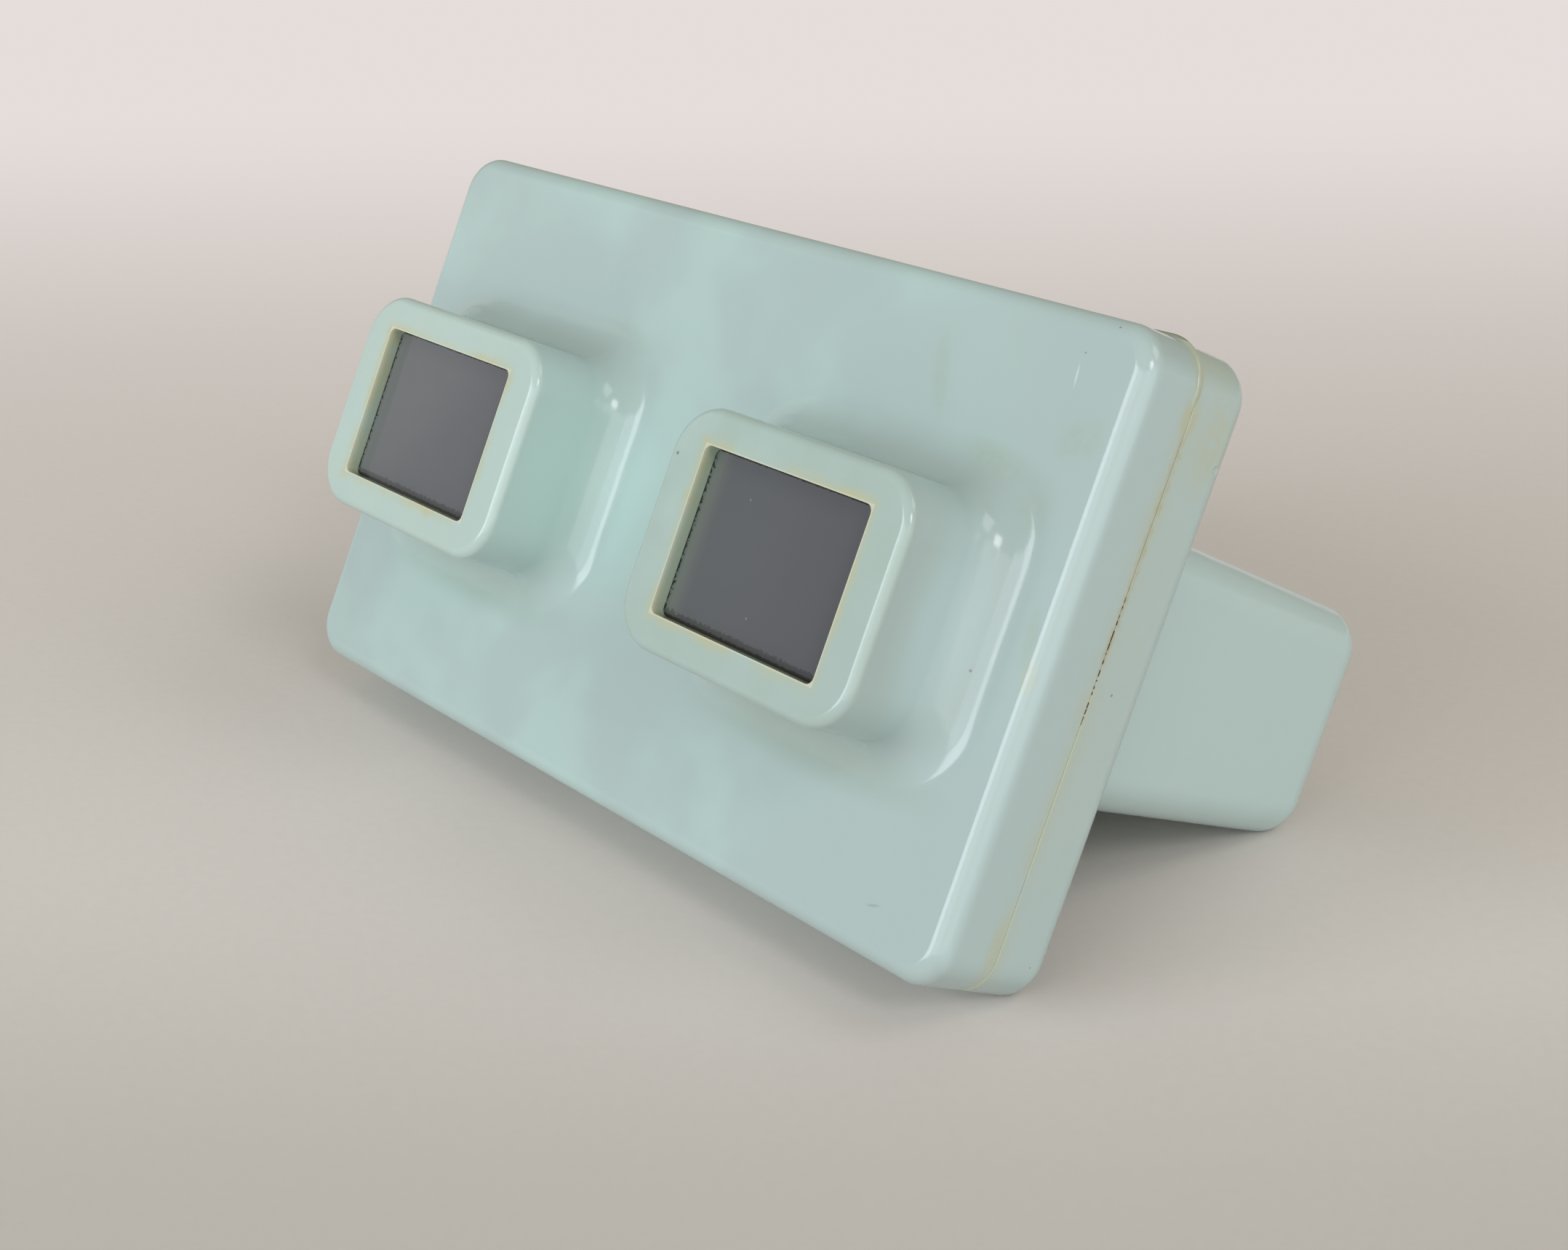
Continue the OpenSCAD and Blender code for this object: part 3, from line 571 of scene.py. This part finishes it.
bpy.ops.mesh.primitive_cylinder_add(vertices=96, radius=NOTCH_R, depth=SPACE, rotation=(math.pi / 2, 0, 0),
                                    location=(0, BOX_TOP + SPACE / 4, SLIDE_MID_Z))
combine(rear, bpy.context.object, "DIFFERENCE")
# A chip is knocked out of the rear rim
bpy.ops.mesh.primitive_uv_sphere_add(segments=32, ring_count=16, radius=CHIP_R, location=CHIP_PLACE)
combine(rear, bpy.context.object, "DIFFERENCE")
round_edges(rear, SEAM_BREAK, steps=2, wanted=lambda edge: on_body_edge(edge, -FRONT_DEPTH))
finish_piece(rear, mint, "rear_shell")

# Lenses
# Two clear plano-convex blocks with rectangular flanges, pressed into the eyepieces from behind.
# The flat side faces the eye, a little under two millimetres behind the window's edge.
LENS_GAP = 0.2 * MM
LENS_FLANGE = 1.8 * MM
LENS_Z = RIM_RISE - WINDOW_LIP
FLANGE_Z = LENS_Z - LENS_FLANGE
DOME_W = 27 * MM
DOME_H = 19.2 * MM
DOME_CORNER_R = 1 * MM
DOME_R = 31 * MM
DOME_EDGE = 0.2 * MM
DOME_RISE = DOME_R - math.sqrt(DOME_R ** 2 - (DOME_W ** 2 + DOME_H ** 2) / 4) + DOME_EDGE

# The clear plastic is painted an even grey for the dark tunnels seen through it, and paler on the far
# lens as a painted reflection. Its gap is dark with old cement and painted shade, and dust lies on it.
LENS_GREY = (0.136, 0.145, 0.157)
LENS_VIOLET = (0.130, 0.133, 0.150)
LENS_GREEN = (0.172, 0.200, 0.180)
LENS_PAINTED_REFLECTION = (0.205, 0.216, 0.235)
LENS_CEMENT_AND_SHADE = (0.020, 0.022, 0.018)
DUST = (0.42, 0.38, 0.36)
acrylic, acrylic_tree, acrylic_shader = new_material("clear acrylic", LENS_GREY, Roughness=0.08,
                                                     Transmission_Weight=0.25, IOR=1.49)
spot = bench_millimetres(acrylic_tree)
spot_x, spot_y = add_node(acrylic_tree, "SeparateXYZ", {0: spot}).outputs[:2]
from_eye = past_middle(acrylic_tree, spot_x, EYE_MM)
from_left = calc(acrylic_tree, "ADD", from_eye, WINDOW_HALF_W)
from_right = calc(acrylic_tree, "SUBTRACT", WINDOW_HALF_W, from_eye)
from_top = calc(acrylic_tree, "SUBTRACT", WINDOW_HALF_H, spot_y)
from_bottom = calc(acrylic_tree, "ADD", spot_y, WINDOW_HALF_H)
ragged = grain(acrylic_tree, spot, scale=2.2, detail=5)
colour = tint(acrylic_tree, fade(acrylic_tree, from_eye, -6, 9), LENS_GREY, LENS_VIOLET)
colour = tint(acrylic_tree, fade(acrylic_tree, from_left, 3.6, 0.4), colour, LENS_GREEN)
# Painted reflection: the far lens is paler
colour = stain(acrylic_tree, colour, fade(acrylic_tree, spot_x, 10, -10), depth=0.4, over=LENS_PAINTED_REFLECTION)
# Along each side: old cement on the left, painted shade in the gap on the other sides and a painted
# reflection of the dark frame along the bottom, each with its distance from that side, how far it reaches
# in, how ragged it is, and its depth
for side_gap, reach, jag, depth in (
        (from_left, 1.15, 1.9, 0.92), (from_bottom, 0.62, 0.6, 0.92), (from_bottom, 1.35, 1.0, 0.45),
        (from_top, 0.30, 0.3, 0.92), (from_right, 0.34, 0.3, 0.92)):
    torn = calc(acrylic_tree, "ADD", side_gap, times(acrylic_tree, ragged, jag))
    colour = stain(acrylic_tree, colour, fade(acrylic_tree, torn, reach + 0.12, reach), depth, LENS_CEMENT_AND_SHADE)
colour = speckle(acrylic_tree, spot, colour, spacing=2.6, radius=0.16, share=0.16, depth=0.6, over=DUST)
haze = spread(acrylic_tree, grain(acrylic_tree, spot, scale=0.4, detail=4), low=0.05, high=0.14)
link_finish(acrylic_tree, acrylic_shader, colour, haze)
for side, eye_x in (("left", -EYE_X), ("right", EYE_X)):
    dome_block = round_block("dome", eye_x, DOME_W, DOME_H, DOME_CORNER_R, FLANGE_Z - DOME_RISE - SPACE,
                             FLANGE_Z + HAIR, steps=4)
    bpy.ops.mesh.primitive_uv_sphere_add(segments=192, ring_count=96, radius=DOME_R,
                                         location=(eye_x, 0, FLANGE_Z - DOME_RISE + DOME_R))
    combine(dome_block, bpy.context.object, "INTERSECT")
    lens = round_block(side + "_lens_block", eye_x, RIM_W - 2 * SHELL_WALL - 2 * LENS_GAP,
                       RIM_H - 2 * SHELL_WALL - 2 * LENS_GAP, RIM_R - SHELL_WALL - LENS_GAP,
                       FLANGE_Z, LENS_Z, steps=8)
    combine(lens, dome_block, "UNION")
    finish_piece(lens, acrylic, side + "_lens")

# Black fittings
# Frames behind the lenses, light tunnels, picture gate, guides and the diffuser's frame are
# moulded in matt black plastic, so that nothing but the picture shines.
BLACK = (0.03, 0.03, 0.032)
BLACK_DEEP = (0.022, 0.022, 0.024)
BLACK_WORN = (0.045, 0.044, 0.043)
black, black_tree, black_shader = new_material("matt black plastic", BLACK, Roughness=0.55)
spot = bench_millimetres(black_tree)
colour = tint(black_tree, grain(black_tree, spot, scale=0.25, detail=4), BLACK_DEEP, BLACK_WORN)
colour = speckle(black_tree, spot, colour, spacing=3, radius=0.12, share=0.2, depth=0.5, over=DUST)
black_gloss = spread(black_tree, grain(black_tree, spot, scale=0.6, detail=3), low=0.42, high=0.66)
black_grain = grain(black_tree, spot, scale=6, detail=2)
link_finish(black_tree, black_shader, colour, black_gloss, black_grain, strength=0.2, distance=0.05 * MM)


def dress_nodes(names, material):
    """Gives carried-over solids their material."""
    for name in names:
        mesh = frame["nodes"][name].data
        mesh.materials.clear()
        mesh.materials.append(material)


dress_nodes(("left_lens_frame", "right_lens_frame", "left_light_tunnel", "right_light_tunnel", "picture_gate",
             "left_slide_guide", "right_slide_guide", "diffuser_frame"), black)

# Springs, rivets and screws
# Bright spring-steel leaves press the slide forward, each held by a rivet, and zinc-plated
# screws hold the gate to the bosses in the box.
STEEL = (0.6, 0.61, 0.62)
STEEL_DARK = (0.47, 0.47, 0.47)
STEEL_BRIGHT = (0.68, 0.69, 0.70)
TARNISH = (0.33, 0.26, 0.20)
steel, steel_tree, steel_shader = new_material("bright steel", STEEL, Roughness=0.3, Metallic=1)
spot = bench_millimetres(steel_tree)
brushed = grain(steel_tree, spot, scale=2.0, detail=4, stretch=(6, 0.25, 6))
tarnished = fade(steel_tree, grain(steel_tree, spot, scale=0.5, detail=3), 0.58, 0.72)
colour = tint(steel_tree, brushed, STEEL_DARK, STEEL_BRIGHT)
colour = stain(steel_tree, colour, tarnished, depth=0.5, over=TARNISH)
link_finish(steel_tree, steel_shader, colour, spread(steel_tree, brushed, low=0.22, high=0.42))
dress_nodes(("left_slide_spring", "right_slide_spring", "spring_rivets", "gate_screws"), steel)

# Diffuser
# A sheet of opal plastic behind the slide spreads the light from the opening in the back.
# Its two ends have yellowed with age.
OPAL = (0.80, 0.80, 0.76)
OPAL_DULL = (0.78, 0.78, 0.73)
OPAL_PALE = (0.84, 0.84, 0.81)
OPAL_YELLOWED = (0.66, 0.60, 0.44)
opal, opal_tree, opal_shader = new_material("opal plastic", OPAL, Roughness=0.4)
spot = bench_millimetres(opal_tree)
spot_x = add_node(opal_tree, "SeparateXYZ", {0: spot}).outputs[0]
colour = tint(opal_tree, grain(opal_tree, spot, scale=0.06, detail=3), OPAL_DULL, OPAL_PALE)
off_middle = calc(opal_tree, "ABSOLUTE", spot_x)
yellowed = fade(opal_tree, off_middle, 0.36 * LIGHT_W / MM, 0.5 * LIGHT_W / MM)
colour = stain(opal_tree, colour, yellowed, depth=0.35, over=OPAL_YELLOWED)
colour = speckle(opal_tree, spot, colour, spacing=5, radius=0.2, share=0.3, depth=0.5, over=DIRT)
opal_grain = grain(opal_tree, spot, scale=3, detail=2)
link_finish(opal_tree, opal_shader, colour, height=opal_grain, strength=0.3, distance=0.05 * MM)
dress_nodes(("diffuser",), opal)

# Stereo slide
# Two plastic mount halves hold a pair of glass-bound transparencies, and lift out of the slot.
# The finger notch in the box lets the thumb reach the top of the mount.
MOUNT = (0.72, 0.71, 0.67)
MOUNT_DULL = (0.66, 0.65, 0.60)
MOUNT_PALE = (0.74, 0.73, 0.70)
mount_plastic, mount_tree, mount_shader = new_material("slide mount plastic", MOUNT, Roughness=0.5)
spot = bench_millimetres(mount_tree)
colour = tint(mount_tree, grain(mount_tree, spot, scale=0.09, detail=4), MOUNT_DULL, MOUNT_PALE)
colour = speckle(mount_tree, spot, colour, spacing=6, radius=0.2, share=0.3, depth=0.4, over=DIRT)
mount_gloss = spread(mount_tree, grain(mount_tree, spot, scale=0.7, detail=4), low=0.36, high=0.60)
mount_grain = grain(mount_tree, spot, scale=5, detail=2)
link_finish(mount_tree, mount_shader, colour, mount_gloss, mount_grain, strength=0.25, distance=0.06 * MM)
dress_nodes(("slide_mount_front", "slide_mount_back"), mount_plastic)

# The pictures are plain scenery of hills under an evening sky, dark until light shines through
PICTURE_X = 31
PICTURE_HALF_W = 11.2
PICTURE_HALF_H = 8
FILM = (0.10, 0.09, 0.09)
FILM_MASK = (0.012, 0.012, 0.014)
SKY_LOW = (0.36, 0.24, 0.13)
SKY_HIGH = (0.05, 0.10, 0.19)
film, film_tree, film_shader = new_material("bound film", FILM, Roughness=0.06, Coat_Weight=0.5)
spot = bench_millimetres(film_tree)
spot_x, spot_y = add_node(film_tree, "SeparateXYZ", {0: spot}).outputs[:2]
from_middle = past_middle(film_tree, spot_x, PICTURE_X)
across = add_node(film_tree, "CombineXYZ", {0: from_middle, 1: 0, 2: 0}).outputs[0]
colour = tint(film_tree, fade(film_tree, spot_y, -2, 8), SKY_LOW, SKY_HIGH)
# Ridges from far to near: height, scale of the noise that shapes them, how high they swing, and colour
for height, scale, swing, shade in (
        (1.5, 0.12, 7, (0.055, 0.075, 0.10)), (-1.5, 0.2, 6, (0.035, 0.060, 0.045)),
        (-5.0, 0.35, 5, (0.040, 0.034, 0.018))):
    skyline = calc(film_tree, "SUBTRACT", grain(film_tree, across, scale=scale, detail=4), 0.5)
    ridge = times(film_tree, skyline, swing)
    above = calc(film_tree, "SUBTRACT", calc(film_tree, "SUBTRACT", spot_y, ridge), height)
    colour = tint(film_tree, fade(film_tree, above, 0.1, -0.1), colour, shade)
past_side = calc(film_tree, "SUBTRACT", calc(film_tree, "ABSOLUTE", from_middle), PICTURE_HALF_W)
past_end = calc(film_tree, "SUBTRACT", calc(film_tree, "ABSOLUTE", spot_y), PICTURE_HALF_H)
masked = fade(film_tree, calc(film_tree, "MAXIMUM", past_side, past_end), -0.05, 0.05)
colour = tint(film_tree, masked, colour, FILM_MASK)
colour = speckle(film_tree, spot, colour, spacing=3, radius=0.12, share=0.15, depth=0.5, over=DUST)
link_finish(film_tree, film_shader, colour)
dress_nodes(("left_transparency", "right_transparency"), film)

# Floor, light and camera
# The viewer stands on warm white paper. Far behind it the paper becomes an evenly lit backdrop,
# which glows only where it is seen or mirrored, so that it lights nothing.
PAPER_SIZE = 8
PAPER_NEAR_PAINTED_SHADE = (0.566, 0.532, 0.500)
PAPER_FAR = (0.725, 0.682, 0.650)
FIBRE = (0.45, 0.40, 0.36)
BACKDROP = (0.785, 0.725, 0.705)
VIEW_ALONG = math.radians(136)
bpy.ops.object.select_all(action="DESELECT")
bpy.ops.mesh.primitive_plane_add(size=PAPER_SIZE, location=(0, 0, 0))
floor = bpy.context.object
floor.name = "floor"
floor_material, floor_tree, floor_shader = new_material("warm white paper", PAPER_NEAR_PAINTED_SHADE, Roughness=0.8)
place = add_node(floor_tree, "TexCoord").outputs["Object"]
along = add_node(floor_tree, "Mapping", {"Vector": place, "Rotation": (0, 0, VIEW_ALONG)},
                 vector_type="TEXTURE").outputs[0]
distance = add_node(floor_tree, "SeparateXYZ", {0: along}).outputs[0]
# The paper is painted darker towards the camera, a painted fall-off of the light
paper = tint(floor_tree, fade(floor_tree, distance, -0.11, -0.03), PAPER_NEAR_PAINTED_SHADE, PAPER_FAR)
fibre_run = grain(floor_tree, place, scale=700, detail=3)
fibres = spread(floor_tree, fibre_run, low=0, high=0.06, start=0.3, end=0.7)
link_finish(floor_tree, floor_shader, tint(floor_tree, fibres, paper, FIBRE))
path = add_node(floor_tree, "LightPath").outputs
seen = calc(floor_tree, "MAXIMUM", path["Is Camera Ray"], path["Is Glossy Ray"])
seen = calc(floor_tree, "MAXIMUM", seen, path["Is Transmission Ray"])
lit = times(floor_tree, seen, fade(floor_tree, distance, 0.0, 0.45))
glow = add_node(floor_tree, "Emission", {"Color": (*BACKDROP, 1), "Strength": 1})
mixed = add_node(floor_tree, "MixShader", {0: lit, 1: floor_shader.outputs[0], 2: glow.outputs[0]})
floor_tree.links.new(mixed.outputs[0], floor_tree.nodes["Material Output"].inputs["Surface"])
floor.data.materials.append(floor_material)

# Soft, slightly warm light from all round
AMBIENT = 0.34
AMBIENT_COLOUR = (1.04, 0.985, 0.83)
world = bpy.data.worlds.new("studio")
bpy.context.scene.world = world
world.use_nodes = True
world_tree = world.node_tree
ambient = world_tree.nodes["Background"]
ambient.inputs["Strength"].default_value = AMBIENT
ambient.inputs["Color"].default_value = (*AMBIENT_COLOUR, 1)
backdrop = add_node(world_tree, "Background", {"Color": (*BACKDROP, 1), "Strength": 1})
to_camera = add_node(world_tree, "LightPath").outputs["Is Camera Ray"]
sky = add_node(world_tree, "MixShader", {0: to_camera, 1: ambient.outputs[0], 2: backdrop.outputs[0]})
world_tree.links.new(sky.outputs[0], world_tree.nodes["World Output"].inputs["Surface"])

# Daylight from in front and beside, and two lamps above. Each panel has its degrees to the right and up,
# width and height in metres, radiance and colour.
LIGHT_AIM = Vector((0, 0, 0.03))
LIGHT_DISTANCE = 1.2
DAYLIGHT = (0.94, 0.99, 1.07)
DAYLIGHT_NEAR = (0.99, 1, 1.03)
DAYLIGHT_FAR = (1, 1, 1.02)
WHITE = (1, 1, 1)


def add_panel(name, azimuth, elevation, width, height, radiance, colour):
    """A flat lamp that faces the viewer, placed by degrees to the right of its front and above the floor."""
    turn = math.radians(azimuth)
    rise = math.radians(elevation)
    direction = Vector((math.sin(turn) * math.cos(rise), -math.cos(turn) * math.cos(rise), math.sin(rise)))
    light = bpy.data.lights.new(name, "AREA")
    light.shape = "RECTANGLE"
    light.size = width
    light.size_y = height
    light.energy = radiance * math.pi * width * height
    light.color = colour
    lamp = bpy.data.objects.new(name, light)
    bpy.context.scene.collection.objects.link(lamp)
    lamp.location = direction * LIGHT_DISTANCE + LIGHT_AIM
    lamp.rotation_euler = (LIGHT_AIM - lamp.location).to_track_quat("-Z", "Y").to_euler()


add_panel("window", -14, 19, 0.46, 0.70, 5.0, DAYLIGHT)
add_panel("window_side", 12, 19, 0.54, 0.70, 2.2, DAYLIGHT)
add_panel("near_side", 44, 15, 0.80, 0.70, 1.3, DAYLIGHT_NEAR)
add_panel("mid_side", 82, 15, 0.86, 0.70, 1.1, DAYLIGHT_FAR)
add_panel("left_side", -75, 15, 0.80, 0.70, 0.4, WHITE)
add_panel("upper_lamp", 76, 38, 0.34, 0.28, 8, WHITE)
add_panel("far_lamp", 122, 48, 0.50, 0.50, 2.2, WHITE)

# The camera stands where the photograph's outlines put it, its picture's middle off the lens's axis
CAMERA_PLACE = Vector((0.21486, -0.18192, 0.13443))
CAMERA_AIM = Vector((-0.00648, -0.01349, 0.02625))
CAMERA_ROLL = math.radians(-1.797)
SENSOR_W = 36
NEAR_CLIP = 0.01
IMAGE_W = 2156
FOCAL_PIXELS = 3362
OFF_CENTRE = (-129.8, -69.1)
camera_data = bpy.data.cameras.new("camera")
camera = bpy.data.objects.new("camera", camera_data)
bpy.context.scene.collection.objects.link(camera)
aim_turn = (CAMERA_AIM - CAMERA_PLACE).to_track_quat("-Z", "Y").to_matrix().to_4x4()
camera.matrix_world = Matrix.Translation(CAMERA_PLACE) @ aim_turn @ Matrix.Rotation(CAMERA_ROLL, 4, "Z")
camera_data.sensor_width = SENSOR_W
camera_data.lens = FOCAL_PIXELS / IMAGE_W * SENSOR_W
camera_data.shift_x = -OFF_CENTRE[0] / IMAGE_W
camera_data.shift_y = OFF_CENTRE[1] / IMAGE_W
camera_data.clip_start = NEAR_CLIP
bpy.context.scene.camera = camera
bpy.context.scene.view_settings.view_transform = "Standard"
